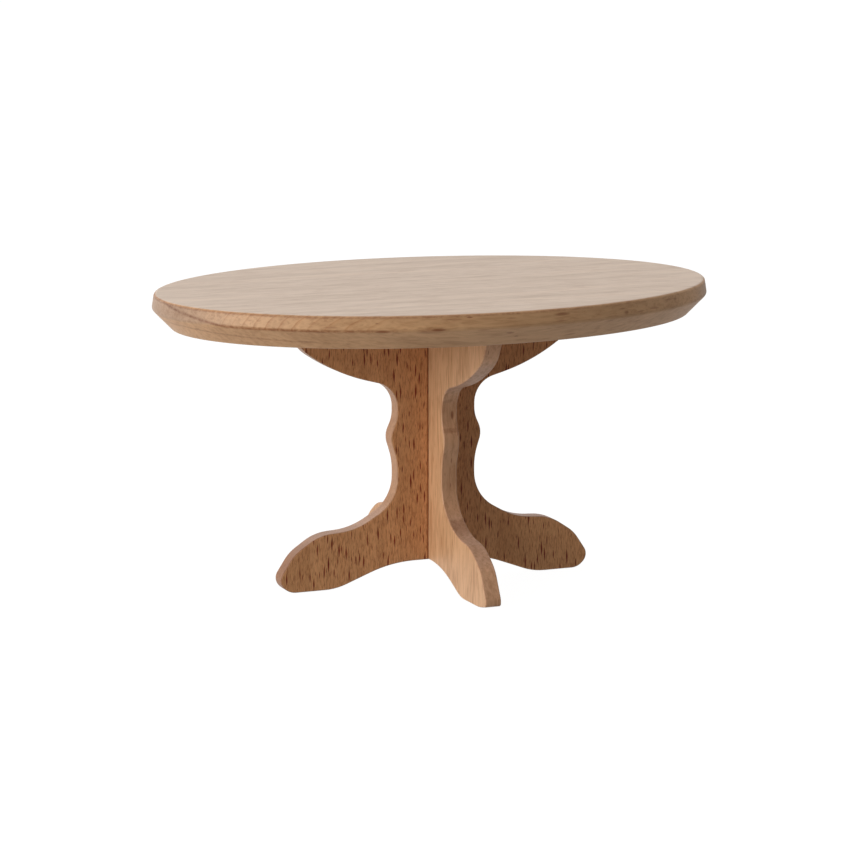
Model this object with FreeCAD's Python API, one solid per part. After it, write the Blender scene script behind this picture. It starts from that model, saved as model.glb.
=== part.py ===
import FreeCAD, Part
import math
import os

# Miniature dining table in solid beech, in millimetres.
# An oval top rests on a pedestal of two flat profiled panels, which cross at right angles in a half
# lap. Blind dowels hold the pedestal to the top.
# Frame: origin on the ground under the middle of the table, +X along the oval's long axis, +Z up.

# Tabletop: an oval board. Its edge has a tall band above a bevel that thins it from below.
TOP_LENGTH = 170.0
TOP_WIDTH = 120.0
TOP_THICKNESS = 10.0
BEVEL_HEIGHT = 5.7  # from the underside up to the ridge where the board is widest
BEVEL_INSET = 5.6  # how far the underside stands in from the ridge
BAND_LEAN = 0.7  # how far the band above the ridge leans in before it meets the top face
TOP_ARRIS = 0.9  # rounding where the band meets the top face
RIDGE_ROUNDING = 1.2
UNDERSIDE_ROUNDING = 0.4

# Pedestal panels.
PEDESTAL_HEIGHT = 79.0
PANEL_THICKNESS = 5.0
PANEL_ARRIS = 0.4  # the sawn outline's edges are sanded to this radius
NECK = 12.4  # half width of the neck, above and below the bead
LAP_HEIGHT = 43.0  # the two lap slots meet at this height
LAP_CLEARANCE = 0.1  # slot width less panel thickness
CROSS_FRONT_SETBACK = 4.3  # the cross panel's front foot reaches this much less far out
CROSS_BACK_SETBACK = -1.5  # its back foot reaches a little further out than the long panel's feet

# Half outline of a panel, from the wing tip under the top, down the neck and the foot, to the arch
# between the feet. Each corner is (distance from the middle, height, radius, share of the foot's
# setback that the corner takes). The two panels differ only where their feet meet the ground.
WING_NECK_AND_INSTEP = [
    (45.8, PEDESTAL_HEIGHT, 0.0, 0.0),  # wing tip, against the tabletop
    (42.5, 72.0, 12.5, 0.0),  # rounded shoulder of the wing
    (31.3, 64.3, 58.0, 0.0),  # long gentle underside of the wing
    (NECK, 59.2, 8.0, 0.0),  # cove into the neck
    (NECK, 49.7, 9.0, 0.0),  # upper side of the bead
    (14.8, 44.4, 6.4, 0.0),  # bead
    (NECK, 37.0, 20.0, 0.0),  # lower side of the bead
    (NECK, 25.0, 12.3, 0.0),  # cove into the foot
    (25.7, 17.3, 21.0, 0.5),  # instep
    (37.2, 16.6, 14.0, 1.0),  # top of the foot
    (45.2, 11.3, 12.0, 1.0),  # slope to the toe
]
LONG_PANEL_SOLE = [
    (50.1, 3.9, 3.3, 1.0),  # round toe
    (47.0, 0.0, 5.0, 1.0),  # outer end of the flat that stands on the ground
    (31.9, 0.0, 19.5, 1.0),  # inner end of that flat
]
CROSS_PANEL_SOLE = [
    (49.6, 2.9, 3.0, 1.0),  # squarer toe
    (49.5, 1.05, 0.9, 1.0),  # its lower corner, lifted off the ground
    (44.5, 0.0, 20.0, 1.0),  # outer end of the flat
    (31.0, 0.0, 12.0, 1.0),  # inner end of the flat
]
ARCH = [(14.3, 6.6, 40.0, 0.6)]  # crown of the arch between the feet

# Dowels between the pedestal and the top, two along each panel.
DOWEL_RADIUS = 1.5
DOWEL_LENGTH = 14.0
DOWEL_DEPTH_IN_TOP = 6.0
DOWEL_CHAMFER = 0.3
DOWEL_OFFSET = 28.0  # from the middle of the table
GLUE_ROOM = 0.5  # extra depth of each dowel hole

X_AXIS = FreeCAD.Vector(1, 0, 0)
Y_AXIS = FreeCAD.Vector(0, 1, 0)
Z_AXIS = FreeCAD.Vector(0, 0, 1)
ORIGIN = FreeCAD.Vector(0, 0, 0)
DOWEL_SIDES = {
    "long_dowel_left": -DOWEL_OFFSET * X_AXIS,
    "long_dowel_right": DOWEL_OFFSET * X_AXIS,
    "cross_dowel_front": -DOWEL_OFFSET * Y_AXIS,
    "cross_dowel_back": DOWEL_OFFSET * Y_AXIS,
}


def corner_arc(before, corner, after, radius):
    """Arc of the given radius, tangent to the two straight legs that meet at a corner."""
    leg_in = (before - corner).normalize()
    leg_out = (after - corner).normalize()
    half_angle = leg_in.getAngle(leg_out) / 2
    reach = radius / math.tan(half_angle)
    bisector = (leg_in + leg_out).normalize()
    middle = corner + bisector * (radius / math.sin(half_angle) - radius)
    return Part.Arc(corner + leg_in * reach, middle, corner + leg_out * reach)


def rounded_loop(corners):
    """Closed wire through (point, radius) corners: straight runs joined by tangent arcs."""
    pieces = []
    count = len(corners)
    for index, (corner, radius) in enumerate(corners):
        before = corners[index - 1][0]
        after = corners[(index + 1) % count][0]
        if radius > 0:
            arc = corner_arc(before, corner, after, radius)
            pieces.append((arc.StartPoint, arc.EndPoint, arc))
        else:
            pieces.append((corner, corner, None))
    edges = []
    for index, (start, end, arc) in enumerate(pieces):
        if arc:
            edges.append(arc.toShape())
        next_start = pieces[(index + 1) % count][0]
        edges.append(Part.LineSegment(end, next_start).toShape())
    return Part.Wire(edges)


def panel_outline(sole, right_setback, left_setback):
    """Whole outline in the XZ plane. Each foot reaches less far out by its own setback."""
    right = []
    left = []
    for distance, height, radius, share in WING_NECK_AND_INSTEP + sole + ARCH:
        right_reach = distance - right_setback * share
        left_reach = distance - left_setback * share
        right.append((FreeCAD.Vector(right_reach, 0, height), radius))
        left.append((FreeCAD.Vector(-left_reach, 0, height), radius))
    return rounded_loop(right + left[::-1])


def follows_outline(edge):
    """True for an edge along the sawn outline, other than the one against the tabletop."""
    low = edge.BoundBox.ZMin
    runs_across = edge.BoundBox.YLength > PANEL_THICKNESS / 2
    return low < PEDESTAL_HEIGHT - PANEL_ARRIS and not runs_across


def blank_panel(outline):
    """Panel of the given outline in the XZ plane, its sawn edges softened and no joints cut yet."""
    outline.translate(-PANEL_THICKNESS / 2 * Y_AXIS)
    panel = Part.Face(outline).extrude(PANEL_THICKNESS * Y_AXIS)
    edges = [edge for edge in panel.Edges if follows_outline(edge)]
    return panel.makeFillet(PANEL_ARRIS, edges)


def lap_slot(bottom, top):
    """Slot for the other panel, between two heights."""
    width = PANEL_THICKNESS + LAP_CLEARANCE
    depth = 2 * PANEL_THICKNESS
    corner = FreeCAD.Vector(-width / 2, -depth / 2, bottom)
    return Part.makeBox(width, depth, top - bottom, corner)


def dowel_holes():
    """All four dowel holes, each one cylinder through the joint of panel and top."""
    bottom = PEDESTAL_HEIGHT + DOWEL_DEPTH_IN_TOP - DOWEL_LENGTH - GLUE_ROOM
    depth = DOWEL_LENGTH + 2 * GLUE_ROOM
    holes = []
    for side in DOWEL_SIDES.values():
        holes.append(Part.makeCylinder(DOWEL_RADIUS, depth, side + bottom * Z_AXIS))
    return Part.makeCompound(holes)


def oval_ring(inset, height):
    """Closed oval wire, a given distance inside the board's widest outline."""
    oval = Part.Ellipse(ORIGIN, TOP_LENGTH / 2 - inset, TOP_WIDTH / 2 - inset)
    ring = Part.Wire(oval.toShape())
    ring.translate(height * Z_AXIS)
    return ring


def edges_at(board, height):
    """The board's closed edges that lie level at one height."""
    tolerance = 0.01
    found = []
    for edge in board.Edges:
        box = edge.BoundBox
        if abs(box.ZMin - height) < tolerance and box.ZLength < tolerance:
            found.append(edge)
    return found


def make_tabletop():
    """Oval board with a bevelled underside and softened edges, drilled for the dowels."""
    underside = PEDESTAL_HEIGHT
    ridge = PEDESTAL_HEIGHT + BEVEL_HEIGHT
    top_face = PEDESTAL_HEIGHT + TOP_THICKNESS
    rings = [oval_ring(BEVEL_INSET, underside), oval_ring(0, ridge), oval_ring(BAND_LEAN, top_face)]
    board = Part.makeLoft(rings, True, True)
    board = board.makeFillet(RIDGE_ROUNDING, edges_at(board, ridge))
    board = board.makeFillet(TOP_ARRIS, edges_at(board, top_face))
    board = board.makeFillet(UNDERSIDE_ROUNDING, edges_at(board, underside))
    return board.cut(dowel_holes())


def make_long_panel():
    """Panel along the oval's long axis, with its lap slot open at the top."""
    panel = blank_panel(panel_outline(LONG_PANEL_SOLE, 0, 0))
    return panel.cut(lap_slot(LAP_HEIGHT, PEDESTAL_HEIGHT)).cut(dowel_holes())


def make_cross_panel():
    """Panel across the table, with its lap slot open at the bottom. Its right foot turns to the back."""
    outline = panel_outline(CROSS_PANEL_SOLE, CROSS_BACK_SETBACK, CROSS_FRONT_SETBACK)
    panel = blank_panel(outline).cut(lap_slot(0, LAP_HEIGHT))
    panel.rotate(ORIGIN, Z_AXIS, 90)
    return panel.cut(dowel_holes())


def make_dowel(side):
    """Round dowel with chamfered ends, half hidden in a panel and half in the top."""
    bottom = PEDESTAL_HEIGHT + DOWEL_DEPTH_IN_TOP - DOWEL_LENGTH
    dowel = Part.makeCylinder(DOWEL_RADIUS, DOWEL_LENGTH, side + bottom * Z_AXIS)
    ends = [edge for edge in dowel.Edges if edge.isClosed()]
    return dowel.makeChamfer(DOWEL_CHAMFER, ends)


def build_parts():
    """Every piece of the table, by name."""
    parts = {
        "tabletop": make_tabletop(),
        "long_panel": make_long_panel(),
        "cross_panel": make_cross_panel(),
    }
    for name, side in DOWEL_SIDES.items():
        parts[name] = make_dowel(side)
    return parts


os.makedirs("parts", exist_ok=True)
for name, shape in build_parts().items():
    shape.exportStep(f"parts/{name}.step")
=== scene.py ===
import math

import bpy
from mathutils import Matrix, Vector


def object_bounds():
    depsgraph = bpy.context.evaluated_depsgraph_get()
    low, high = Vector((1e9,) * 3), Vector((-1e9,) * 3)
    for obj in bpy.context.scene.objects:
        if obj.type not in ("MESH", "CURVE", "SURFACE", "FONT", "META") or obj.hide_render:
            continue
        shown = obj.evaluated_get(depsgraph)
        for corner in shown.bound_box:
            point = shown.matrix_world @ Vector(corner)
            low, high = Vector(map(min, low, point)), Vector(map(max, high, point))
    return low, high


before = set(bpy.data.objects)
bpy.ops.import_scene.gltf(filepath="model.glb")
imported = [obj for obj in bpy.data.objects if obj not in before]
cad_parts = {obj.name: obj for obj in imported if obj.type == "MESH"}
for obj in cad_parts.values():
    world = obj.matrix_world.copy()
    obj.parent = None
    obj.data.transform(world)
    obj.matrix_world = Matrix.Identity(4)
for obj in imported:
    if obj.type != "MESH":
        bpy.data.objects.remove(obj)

# The miniature dining table: bare beech, seen from slightly above and to the left of its front.
# Everything is in metres, in the frame's own axes: +X along the oval's long axis, +Z up.

CAD_LOW, CAD_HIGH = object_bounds()
MM = 1000.0  # object coordinates in metres times this give millimetres
UP = (0.0, 0.0, 1.0)
FRONT = (0.0, -1.0, 0.0)

# Camera: where it stands and which way it looks.
CAMERA_PLACE = (-0.41004, -0.98351, 0.24097)
CAMERA_HEADING = 22.503  # degrees from +Y towards +X
CAMERA_DOWN = 10.333  # degrees below the horizon
CAMERA_SENSOR = 36.0
CAMERA_LENS = 154.48


# ---------------------------------------------------------------- node helpers


class Graph:
    """A small wrapper that adds nodes to a material or world and links them by value or socket."""

    def __init__(self, tree):
        self.tree = tree
        tree.nodes.clear()

    def node(self, kind, inputs=None, **settings):
        node = self.tree.nodes.new(kind)
        for key, value in settings.items():
            setattr(node, key, value)
        for key, value in (inputs or {}).items():
            self.put(node.inputs[key], value)
        return node

    def put(self, socket, value):
        """Links a socket if value is one, and otherwise sets the socket's own value."""
        if isinstance(value, bpy.types.NodeSocket):
            self.tree.links.new(value, socket)
        else:
            socket.default_value = value

    def math(self, operation, first, second=0.0, third=0.0):
        inputs = {0: first, 1: second, 2: third}
        return self.node("ShaderNodeMath", inputs, operation=operation).outputs[0]

    def dot(self, first, second):
        node = self.node("ShaderNodeVectorMath", {0: first, 1: second}, operation="DOT_PRODUCT")
        return node.outputs["Value"]

    def combine(self, x, y, z):
        return self.node("ShaderNodeCombineXYZ", {0: x, 1: y, 2: z}).outputs[0]

    def noise(self, place, detail=2.0, roughness=0.5, distortion=0.0):
        inputs = {"Vector": place, "Scale": 1.0, "Detail": detail, "Roughness": roughness}
        inputs["Distortion"] = distortion
        return self.node("ShaderNodeTexNoise", inputs).outputs[0]

    def remap(self, value, low, high, to_low=0.0, to_high=1.0, smooth=False):
        kind = "SMOOTHSTEP" if smooth else "LINEAR"
        inputs = {0: value, 1: low, 2: high, 3: to_low, 4: to_high}
        node = self.node("ShaderNodeMapRange", inputs, interpolation_type=kind, clamp=True)
        return node.outputs[0]

    def mix(self, factor, first, second, blend="MIX"):
        """Mixes two colours. The node's sockets share names, so they are picked by number."""
        node = self.node("ShaderNodeMix", data_type="RGBA", blend_type=blend)
        self.put(node.inputs[0], factor)
        self.put(node.inputs[6], first)
        self.put(node.inputs[7], second)
        return node.outputs[2]


# ---------------------------------------------------------------- beech

# Tints that multiply a board's own tone, as red, green, blue and alpha.
LIGHT_BAND = (1.07, 1.07, 1.06, 1.0)
DARK_BAND = (0.90, 0.87, 0.83, 1.0)
RING_TINT = (0.74, 0.55, 0.38, 1.0)
DARK_FIBRE = (0.72, 0.61, 0.52, 1.0)
PALE_FIBRE = (1.15, 1.17, 1.20, 1.0)
FLECK_TINT = (0.31, 0.06, 0.0, 1.0)
# The next tint darkens real marks and painted shade alike.
MARK_AND_SHADE_TINT = (0.42, 0.25, 0.15, 1.0)

# How each board was cut, with sizes in millimetres.
# axes: the object axes across the rays, along the rays and along the grain.
# face: the axis that the wide faces look along.
# end_from: how squarely a surface faces along the grain where end grain starts to show, and where it
#   shows in full.
# flecks: two layers of ray ends, each (cell width, cell length, largest half size as a share of the
#   cell, share of cells left empty, strength).
# ring_centre: where the growth rings are centred, across the rays and along them. ring_bow bends them
#   more than a circle would.
# band_size, fibre_size: the size of a feature along each of the three axes.
# wander: how far the grain strays from straight.
# shift: an offset in the noise, so that no two boards look alike.
LONG_PANEL_CUT = {
    "axes": "XYZ",
    "face": "Y",
    "face_tone": (0.70, 0.345, 0.15, 1.0),
    "edge_tone": (0.47, 0.24, 0.118, 1.0),
    "end_tone": (0.55, 0.335, 0.225, 1.0),
    "flecks": ((1.1, 10.0, 0.29, 0.1, 1.0), (0.55, 4.2, 0.31, 0.2, 0.45)),
    "ring_centre": (40.0, -70.0),
    "ring_gap": 4.5,
    "ring_bow": 1.0,
    "ring_on_face": 0.25,
    "ring_on_edge": 0.15,
    "fibre_on_face": 1.0,
    "fibre_on_edge": 0.5,
    "fibre_size": (0.32, 0.8, 2.2),
    "band_size": (5.0, 9.0, 70.0),
    "end_from": (0.55, 0.95),
    "wander": 3.0,
    "shift": 0.0,
}
CROSS_PANEL_CUT = {
    "axes": "XYZ",
    "face": "X",
    "face_tone": (0.635, 0.36, 0.185, 1.0),
    "edge_tone": (0.66, 0.36, 0.198, 1.0),
    "end_tone": (0.62, 0.37, 0.24, 1.0),
    "flecks": ((1.6, 9.0, 0.12, 0.5, 0.5), (0.6, 3.0, 0.2, 0.4, 0.15)),
    "ring_centre": (200.0, 8.0),
    "ring_gap": 1.6,
    "ring_bow": 1.0,
    "ring_on_face": 0.16,
    "ring_on_edge": 0.3,
    "fibre_on_face": 0.85,
    "fibre_on_edge": 0.6,
    "fibre_size": (0.9, 1.0, 10.0),
    "band_size": (5.0, 9.0, 70.0),
    "end_from": (0.55, 0.95),
    "wander": 2.0,
    "shift": 41.0,
}
TABLETOP_CUT = {
    "axes": "ZYX",
    "face": "Z",
    "face_tone": (0.69, 0.525, 0.40, 1.0),
    "edge_tone": (0.625, 0.352, 0.172, 1.0),
    "end_tone": (0.43, 0.275, 0.18, 1.0),
    "flecks": ((6.0, 26.0, 0.075, 0.35, 0.55), (1.6, 12.0, 0.24, 0.3, 0.3)),
    "ring_centre": (84.0, -253.8),
    "ring_gap": 2.5,
    "ring_bow": 5.5,
    "ring_on_face": 0.03,
    "ring_on_edge": 0.9,
    "fibre_on_face": 0.4,
    "fibre_on_edge": 0.5,
    "fibre_size": (0.9, 1.1, 9.0),
    "band_size": (5.0, 6.0, 70.0),
    "end_from": (0.65, 1.0),
    "wander": 1.0,
    "shift": 83.0,
}
DOWEL_CUT = {
    "axes": "XYZ",
    "face": "X",
    "face_tone": (0.64, 0.36, 0.19, 1.0),
    "edge_tone": (0.64, 0.36, 0.19, 1.0),
    "end_tone": (0.58, 0.35, 0.22, 1.0),
    "flecks": ((0.9, 4.0, 0.25, 0.4, 0.6), (0.5, 2.0, 0.25, 0.3, 0.3)),
    "ring_centre": (9.0, 30.0),
    "ring_gap": 2.0,
    "ring_bow": 1.0,
    "ring_on_face": 0.3,
    "ring_on_edge": 0.3,
    "fibre_on_face": 0.6,
    "fibre_on_edge": 0.6,
    "fibre_size": (0.32, 0.32, 3.0),
    "band_size": (5.0, 9.0, 70.0),
    "end_from": (0.55, 0.95),
    "wander": 1.0,
    "shift": 131.0,
}

# Settings that every cut shares, with sizes in millimetres along the same three axes. A pair of
# numbers in FACE_FROM and RAYS_FROM is read as end_from is.
SWAY_SIZE = (30.0, 30.0, 45.0)  # how slowly the grain wanders
WOBBLE_SIZE = (4.0, 12.0, 40.0)  # how finely a growth ring wavers
PORE_SIZE = (0.12, 0.12, 0.9)
NOISE_MIDDLE = 0.5  # the value that noise varies around
BAND_SPREAD = 0.2  # how far from that value the light and dark bands are at full strength
FIBRE_SPREAD = 0.14  # the same for fibres
FACE_FROM = (0.80, 0.97)  # where the tone of a wide face takes over
RAYS_FROM = (0.35, 0.9)  # where the rays end in the surface, and so show as flecks
FLECKS_ALONG_RAYS = 0.04  # what is left of the flecks where the rays lie in the surface
FLECK_POINTS = 1.25  # 1 draws each fleck as a lozenge and 2 as an ellipse
FLECK_CORE = 0.7  # share of a fleck that is fully dark
LATE_WOOD = (0.35, 0.94)  # share of a year's growth where it starts to darken, and where it is darkest
LATE_WOOD_POWER = 5.0  # higher keeps the dark line thinner
FAINTEST_YEAR = 0.25
ROUGHNESS = 0.43
PORE_ROUGHNESS = 0.16
RELIEF = {"Strength": 0.3, "Distance": 0.00005}  # distance in metres
RELIEF_OF_FIBRE = 0.5
RELIEF_OF_PORES = 0.35
RELIEF_OF_FLECKS = -0.5

# Offsets in the noise, so that no two features of one board line up.
BAND_SHIFT = 3.0
PORE_SHIFT = 5.0
RING_SHIFT = 7.0
FINE_FLECK_SHIFT = 17.0

# Where the growth rings show on the tabletop's rim. A pair is the start and the end of a change, in
# how far the surface turns up or in x.
BEVEL_TO_BAND = (-0.55, -0.15)
RINGS_ON_BEVEL = 0.25
RIGHT_TO_LEFT = (-20.0, -45.0)
RINGS_ON_RIGHT = 0.2
TIP_INWARD = (-82.0, -72.0)

# Marks on the tabletop's rim, in millimetres. A facet shade line is a thin line of painted shade where
# the rim's sanded facets meet; the last one is painted shade along the top arris. Each runs between two
# (y, height) points, at full strength left of one x and gone by another; its last numbers are half
# width and strength. A speck is (x, height, half length, half height, strength).
FACET_SHADE_LINES = (
    ((-28.0, 84.7), (-0.5, 88.9), (-45.0, -24.0), 0.75, 0.8),
    ((-50.0, 80.5), (-12.0, 82.8), (-60.0, -40.0), 0.5, 0.45),
    ((-60.0, 88.5), (0.0, 88.5), (10.0, 60.0), 0.6, 0.6),
)
RIM_SPECKS = (
    (-37.5, 84.6, 3.0, 0.6, 0.85),
    (-24.0, 84.7, 6.0, 1.3, 0.4),
    (-22.5, 84.8, 3.0, 0.6, 0.9),
    (15.0, 87.3, 3.2, 0.6, 0.6),
    (37.5, 85.8, 1.0, 0.6, 0.5),
    (58.0, 87.2, 1.0, 0.5, 0.5),
)
FACETS_BELOW = (0.98, 0.85)  # how far a surface turns up where the painted shade lines start, and show in full
FACETS_NEARER_THAN = (30.0, 20.0)  # y where they start, and show in full
PATCHY_FROM = (0.3, 0.6)  # noise where a painted shade line is patchiest, and where it is whole
FAINTEST_PATCH = 0.35

# Marks of the same kind on the cross panel's front edge, and the dark line of the lap joint on the
# long panel's faces.
FRONT_EDGE_SPECKS = (
    (0.9, 51.7, 0.6, 1.7, 0.8),
    (0.0, 47.3, 7.0, 0.9, 0.35),
    (-0.6, 56.0, 2.2, 0.7, 0.25),
    (0.0, 19.4, 7.0, 2.6, 0.4),
)
SPECKS_FROM = (0.2, 0.45)  # how squarely a surface faces the front where specks start, and show in full
JOINT_LINE = (2.75, 3.2)  # at full strength this far from the middle, and gone this far
JOINT_STRENGTH = 0.9

# Painted shade darkens the sawn edge of the long panel's left foot between two x, below one height.
TOE_SHADE_SPAN = (-33.0, -42.5)
TOE_SHADE_BELOW = 30.0
TOE_SHADE_STRENGTH = 0.5


def scaled(graph, across, radial, along, sizes, shift):
    """Grain coordinates divided by the size of a feature along each of the three directions."""
    width, depth, length = sizes
    parts = []
    for value, size in ((across, width), (radial, depth), (along, length)):
        parts.append(graph.math("MULTIPLY_ADD", value, 1.0 / size, shift))
    return graph.combine(*parts)


def facing(graph, normal, axis, low, high):
    """1 where the surface looks along an object axis, 0 where it is well off it."""
    direction = tuple(1.0 if letter == axis else 0.0 for letter in "XYZ")
    along = graph.math("ABSOLUTE", graph.dot(normal, direction))
    return graph.remap(along, low, high, 0.0, 1.0, smooth=True)


def ray_flecks(graph, across, along, layer, shift):
    """Spindle-shaped ray ends, one to a cell, each of its own size. 1 inside a fleck, 0 outside."""
    cell_width, cell_length, largest, empty, strength = layer
    place = scaled(graph, across, along, 0.0, (cell_width, cell_length, 1.0), shift)
    cells = graph.node(
        "ShaderNodeTexVoronoi",
        {"Vector": place, "Scale": 1.0, "Exponent": FLECK_POINTS},
        voronoi_dimensions="2D",
        feature="F1",
        distance="MINKOWSKI",
    )
    chance = graph.node("ShaderNodeSeparateColor", {0: cells.outputs["Color"]}).outputs[0]
    reach = graph.remap(chance, empty, 1.0, 0.0, largest)
    core = graph.math("MULTIPLY", reach, FLECK_CORE)
    inside = graph.remap(cells.outputs["Distance"], reach, core, 0.0, 1.0, smooth=True)
    return graph.math("MULTIPLY", inside, strength)


def growth_rings(graph, grain, cut):
    """Thin dark lines where each year's growth ends, of a strength that changes from ring to ring."""
    shift = cut["shift"]
    off_across = graph.math("SUBTRACT", grain[0], cut["ring_centre"][0])
    off_across = graph.math("MULTIPLY", off_across, cut["ring_bow"])
    off_radial = graph.math("SUBTRACT", grain[1], cut["ring_centre"][1])
    squares = graph.math("MULTIPLY", off_radial, off_radial)
    squares = graph.math("MULTIPLY_ADD", off_across, off_across, squares)
    distance = graph.math("SQRT", squares)
    wobble = graph.noise(scaled(graph, *grain, WOBBLE_SIZE, shift + RING_SHIFT))
    distance = graph.math("MULTIPLY_ADD", wobble, cut["wander"], distance)
    turns = graph.math("MULTIPLY", distance, 1.0 / cut["ring_gap"])
    turn = graph.math("FRACT", turns)
    late_start, late_end = LATE_WOOD
    late = graph.math("POWER", graph.remap(turn, late_start, late_end), LATE_WOOD_POWER)
    edge = graph.remap(turn, late_end, 1.0, 1.0, 0.0)
    year = graph.node(
        "ShaderNodeTexWhiteNoise", {"W": graph.math("FLOOR", turns)}, noise_dimensions="1D"
    ).outputs["Value"]
    vigour = graph.remap(year, 0.0, 1.0, FAINTEST_YEAR, 1.0)
    return graph.math("MULTIPLY", graph.math("MULTIPLY", late, edge), vigour)


def rim_rings_show(graph, normal, x):
    """The rings are plain on the left of the tabletop's rim, but fade on its bevel and at its tip."""
    upright = graph.dot(normal, UP)
    off_bevel = graph.remap(upright, *BEVEL_TO_BAND, RINGS_ON_BEVEL, 1.0)
    on_left = graph.remap(x, *RIGHT_TO_LEFT, RINGS_ON_RIGHT, 1.0)
    off_tip = graph.remap(x, *TIP_INWARD)
    return graph.math("MULTIPLY", graph.math("MULTIPLY", off_bevel, on_left), off_tip)


def front_specks(graph, normal, x, z, specks):
    """Small dark oval marks on the surface that faces the front. 1 inside a mark, 0 outside."""
    marks = 0.0
    for place_x, place_z, half_length, half_height, strength in specks:
        side = graph.math("MULTIPLY_ADD", x, 1.0 / half_length, -place_x / half_length)
        rise = graph.math("MULTIPLY_ADD", z, 1.0 / half_height, -place_z / half_height)
        squares = graph.math("MULTIPLY", rise, rise)
        squares = graph.math("MULTIPLY_ADD", side, side, squares)
        speck = graph.remap(squares, 1.0, 0.0, 0.0, strength, smooth=True)
        marks = graph.math("MAXIMUM", marks, speck)
    forward = graph.dot(normal, FRONT)
    return graph.math("MULTIPLY", marks, graph.remap(forward, *SPECKS_FROM))


def joint_line(graph, normal, x):
    """Dark lines on the long panel where the cross panel comes out of its faces."""
    near, far = JOINT_LINE
    off = graph.math("ABSOLUTE", x)
    line = graph.remap(off, far, near, 0.0, JOINT_STRENGTH, smooth=True)
    return graph.math("MULTIPLY", line, facing(graph, normal, "Y", *FACE_FROM))


def toe_shade(graph, normal, x, z):
    """Painted shade: the sawn edge of the long panel's left foot is darker and browner towards its toe.
    """
    start, full = TOE_SHADE_SPAN
    painted_shade = graph.remap(x, start, full, 0.0, TOE_SHADE_STRENGTH)
    on_foot = graph.math("LESS_THAN", z, TOE_SHADE_BELOW)
    off_face = graph.remap(facing(graph, normal, "Y", *FACE_FROM), 1.0, 0.0)
    return graph.math("MULTIPLY", painted_shade, graph.math("MULTIPLY", on_foot, off_face))


def facet_shade_lines(graph, normal, x, y, z):
    """Thin lines of painted shade where the tabletop's sanded facets meet on its rim, and along its top
    arris.
    """
    # Noise makes the painted shade lines patchy.
    patchiness = graph.remap(graph.noise(graph.combine(x, y, z)), *PATCHY_FROM, FAINTEST_PATCH, 1.0)
    marks = 0.0
    for start, end, fade, half_width, strength in FACET_SHADE_LINES:
        level = graph.remap(y, start[0], end[0], start[1], end[1])
        off = graph.math("ABSOLUTE", graph.math("SUBTRACT", z, level))
        line = graph.remap(off, half_width, 0.0, 0.0, strength, smooth=True)
        line = graph.math("MULTIPLY", line, graph.remap(x, fade[1], fade[0]))
        marks = graph.math("MAXIMUM", marks, graph.math("MULTIPLY", line, patchiness))
    upright = graph.dot(normal, UP)
    on_rim = graph.remap(upright, *FACETS_BELOW)
    on_near_side = graph.remap(y, *FACETS_NEARER_THAN)
    return graph.math("MULTIPLY", marks, graph.math("MULTIPLY", on_rim, on_near_side))


def board_marks_and_shade(graph, cut, normal, x, y, z):
    """The marks and the painted shade that belong to one board only."""
    if cut is TABLETOP_CUT:
        specks = front_specks(graph, normal, x, z, RIM_SPECKS)
        return graph.math("MAXIMUM", specks, facet_shade_lines(graph, normal, x, y, z))
    if cut is CROSS_PANEL_CUT:
        return front_specks(graph, normal, x, z, FRONT_EDGE_SPECKS)
    if cut is LONG_PANEL_CUT:
        return graph.math("MAXIMUM", joint_line(graph, normal, x), toe_shade(graph, normal, x, z))
    return 0.0


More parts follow.
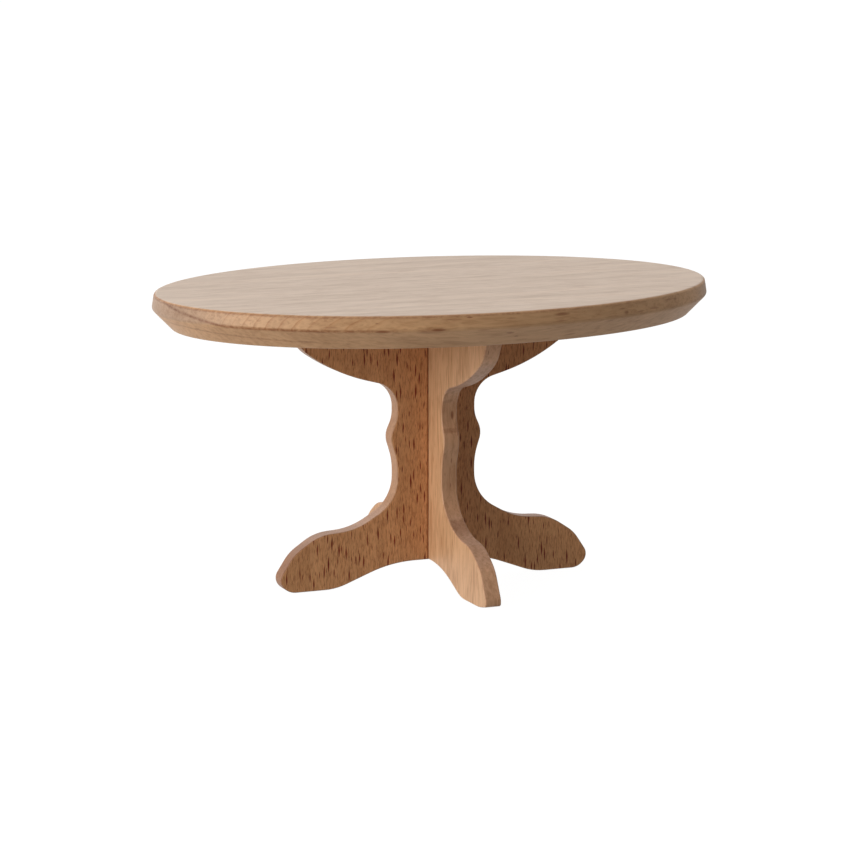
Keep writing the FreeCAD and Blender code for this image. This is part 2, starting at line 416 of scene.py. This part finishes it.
def beech(name, cut):
    """Solid beech, worked out in the board's own grain directions, in millimetres."""
    material = bpy.data.materials.new(name)
    material.use_nodes = True
    graph = Graph(material.node_tree)
    shift = cut["shift"]
    place = graph.node("ShaderNodeTexCoord").outputs["Object"]
    split = graph.node("ShaderNodeSeparateXYZ", {0: place}).outputs
    straight = [graph.math("MULTIPLY", split["XYZ".index(axis)], MM) for axis in cut["axes"]]

    # The grain wanders a little, so every feature that follows it wanders too.
    sway = graph.noise(scaled(graph, *straight, SWAY_SIZE, shift), detail=1.0)
    across = graph.math("MULTIPLY_ADD", sway, cut["wander"], straight[0])
    radial = graph.math("MULTIPLY_ADD", sway, cut["wander"] / 2, straight[1])
    grain = (across, radial, straight[2])

    normal = graph.node("ShaderNodeNewGeometry").outputs["Normal"]
    on_face = facing(graph, normal, cut["face"], *FACE_FROM)
    on_end = facing(graph, normal, cut["axes"][2], *cut["end_from"])
    across_rays = facing(graph, normal, cut["axes"][1], *RAYS_FROM)

    # The board's own tone: one on its wide faces, one on its edges and one on end grain.
    colour = graph.mix(on_end, cut["edge_tone"], cut["end_tone"])
    colour = graph.mix(on_face, colour, cut["face_tone"])

    # Broad bands along the grain, then growth rings, fibres and ray flecks.
    place = scaled(graph, *grain, cut["band_size"], shift + BAND_SHIFT)
    bands = graph.noise(place, detail=3.0, roughness=0.6)
    light = graph.remap(bands, NOISE_MIDDLE, NOISE_MIDDLE - BAND_SPREAD)
    dark = graph.remap(bands, NOISE_MIDDLE, NOISE_MIDDLE + BAND_SPREAD)
    colour = graph.mix(light, colour, LIGHT_BAND, "MULTIPLY")
    colour = graph.mix(dark, colour, DARK_BAND, "MULTIPLY")

    rings = growth_rings(graph, grain, cut)
    if cut is TABLETOP_CUT:
        rings = graph.math("MULTIPLY", rings, rim_rings_show(graph, normal, straight[2]))
    ring_strength = graph.remap(on_face, 0.0, 1.0, cut["ring_on_edge"], cut["ring_on_face"])
    colour = graph.mix(graph.math("MULTIPLY", rings, ring_strength), colour, RING_TINT, "MULTIPLY")

    place = scaled(graph, *grain, cut["fibre_size"], shift)
    fibre = graph.noise(place, detail=3.0, roughness=0.65, distortion=0.6)
    strength = graph.remap(on_face, 0.0, 1.0, cut["fibre_on_edge"], cut["fibre_on_face"])
    dark = graph.remap(fibre, NOISE_MIDDLE, NOISE_MIDDLE + FIBRE_SPREAD)
    pale = graph.remap(fibre, NOISE_MIDDLE, NOISE_MIDDLE - FIBRE_SPREAD)
    colour = graph.mix(graph.math("MULTIPLY", dark, strength), colour, DARK_FIBRE, "MULTIPLY")
    colour = graph.mix(graph.math("MULTIPLY", pale, strength), colour, PALE_FIBRE, "MULTIPLY")

    coarse, fine = cut["flecks"]
    large = ray_flecks(graph, across, straight[2], coarse, shift)
    small = ray_flecks(graph, across, straight[2], fine, shift + FINE_FLECK_SHIFT)
    flecks = graph.math("MAXIMUM", large, small)
    share = graph.remap(across_rays, 0.0, 1.0, FLECKS_ALONG_RAYS, 1.0)
    flecks = graph.math("MULTIPLY", flecks, share)
    colour = graph.mix(flecks, colour, FLECK_TINT, "MULTIPLY")

    # Real specks and the joint line, and painted shade on the tabletop's rim and the long panel's toe.
    marks = board_marks_and_shade(graph, cut, normal, *[graph.math("MULTIPLY", axis, MM) for axis in split])
    colour = graph.mix(marks, colour, MARK_AND_SHADE_TINT, "MULTIPLY")

    # Fine pores and fibres give the sanded surface its tooth.
    place = scaled(graph, *grain, PORE_SIZE, shift + PORE_SHIFT)
    pores = graph.noise(place, roughness=0.7)
    relief = graph.math("MULTIPLY", pores, RELIEF_OF_PORES)
    relief = graph.math("MULTIPLY_ADD", fibre, RELIEF_OF_FIBRE, relief)
    relief = graph.math("MULTIPLY_ADD", flecks, RELIEF_OF_FLECKS, relief)
    bump = graph.node("ShaderNodeBump", {"Height": relief, **RELIEF}).outputs[0]
    roughness = graph.math("MULTIPLY_ADD", pores, PORE_ROUGHNESS, ROUGHNESS)

    shader = graph.node("ShaderNodeBsdfPrincipled")
    graph.put(shader.inputs["Base Color"], colour)
    graph.put(shader.inputs["Roughness"], roughness)
    graph.put(shader.inputs["Normal"], bump)
    graph.put(shader.inputs["IOR"], 1.5)
    graph.node("ShaderNodeOutputMaterial", {"Surface": shader.outputs[0]})
    return material


def dress():
    """Gives every node its own cut of beech."""
    dowel = beech("dowel_beech", DOWEL_CUT)
    finishes = {
        "tabletop": beech("tabletop_beech", TABLETOP_CUT),
        "long_panel": beech("long_panel_beech", LONG_PANEL_CUT),
        "cross_panel": beech("cross_panel_beech", CROSS_PANEL_CUT),
    }
    for name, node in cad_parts.items():
        material = finishes.get(name, dowel)
        for material_slot in node.material_slots:
            material_slot.material = material


# ---------------------------------------------------------------- studio

WHITE = (1.0, 1.0, 1.0, 1.0)
FLOOR_SIZE = 12.0
FLOOR_GAP = 0.0001  # keeps the floor just clear of the feet
FLOOR_COLOUR = (0.1, 0.1, 0.1, 1.0)
FLOOR_GLOW = 0.97

# Light from the studio around the table: (direction it comes from, strength).
GLOWS = (
    ((0.0, 1.0, 0.0), 1.2),  # the bright backdrop behind
    ((0.0, 0.0, -1.0), 0.54),  # the white floor
    ((0.0, 0.0, 1.0), 0.82),  # the ceiling
    ((-1.0, 0.0, 0.0), 0.25),  # the left wall
    ((1.0, 0.0, 0.0), 0.34),  # the right wall
)


def make_floor():
    """A plain white floor that shows hardly any shadow."""
    level = CAD_LOW.z - FLOOR_GAP
    bpy.ops.mesh.primitive_plane_add(size=FLOOR_SIZE, location=(0.0, 0.0, level))
    floor = bpy.context.object
    floor.name = "floor"
    floor.visible_diffuse = False
    floor.visible_glossy = False
    material = bpy.data.materials.new("floor_paper")
    material.use_nodes = True
    graph = Graph(material.node_tree)
    shader = graph.node("ShaderNodeBsdfPrincipled")
    graph.put(shader.inputs["Base Color"], FLOOR_COLOUR)
    graph.put(shader.inputs["Roughness"], 1.0)
    graph.put(shader.inputs["Specular IOR Level"], 0.0)
    graph.put(shader.inputs["Emission Color"], WHITE)
    graph.put(shader.inputs["Emission Strength"], FLOOR_GLOW)
    graph.node("ShaderNodeOutputMaterial", {"Surface": shader.outputs[0]})
    floor.data.materials.append(material)


def make_world():
    """Studio surroundings: one broad, smooth glow for each direction in GLOWS."""
    world = bpy.data.worlds.new("studio")
    bpy.context.scene.world = world
    world.use_nodes = True
    graph = Graph(world.node_tree)
    way = graph.node("ShaderNodeTexCoord").outputs["Generated"]
    level = 0.0
    for direction, strength in GLOWS:
        toward = graph.math("MAXIMUM", graph.dot(way, direction), 0.0)
        glow = graph.math("MULTIPLY", toward, toward)
        level = graph.math("MULTIPLY_ADD", glow, strength, level)
    background = graph.node("ShaderNodeBackground", {"Color": WHITE})
    graph.put(background.inputs["Strength"], level)
    graph.node("ShaderNodeOutputWorld", {"Surface": background.outputs[0]})


def soft_light(name, turn, height, distance, size, power):
    """A square soft box, turned from -X towards -Y and raised by degrees, aimed at the table."""
    light = bpy.data.lights.new(name, "AREA")
    light.shape = "SQUARE"
    light.size = size
    light.energy = power
    lamp = bpy.data.objects.new(name, light)
    bpy.context.collection.objects.link(lamp)
    turn = math.radians(turn)
    height = math.radians(height)
    away = Vector(
        (-math.cos(turn) * math.cos(height), -math.sin(turn) * math.cos(height), math.sin(height))
    )
    target = Vector((0.0, 0.0, CAD_HIGH.z / 2))
    lamp.location = target + away * distance
    lamp.rotation_euler = (-away).to_track_quat("-Z", "Y").to_euler()


def make_camera():
    """The camera, placed and turned by the values at the top."""
    heading = math.radians(CAMERA_HEADING)
    down = math.radians(CAMERA_DOWN)
    forward = Vector(
        (math.sin(heading) * math.cos(down), math.cos(heading) * math.cos(down), -math.sin(down))
    )
    right = Vector((math.cos(heading), -math.sin(heading), 0.0))
    up = right.cross(forward)
    camera = bpy.data.cameras.new("camera")
    camera.sensor_width = CAMERA_SENSOR
    camera.lens = CAMERA_LENS
    camera.clip_start = 0.05
    camera.clip_end = 50.0
    holder = bpy.data.objects.new("camera", camera)
    bpy.context.collection.objects.link(holder)
    turn = Matrix((right, up, -forward)).transposed()
    holder.matrix_world = Matrix.Translation(CAMERA_PLACE) @ turn.to_4x4()
    bpy.context.scene.camera = holder


make_camera()
make_floor()
make_world()
soft_light("key", turn=15.0, height=10.0, distance=1.2, size=0.9, power=12.4)
dress()

view_settings = bpy.context.scene.view_settings
view_settings.view_transform = "Standard"
view_settings.look = "None"
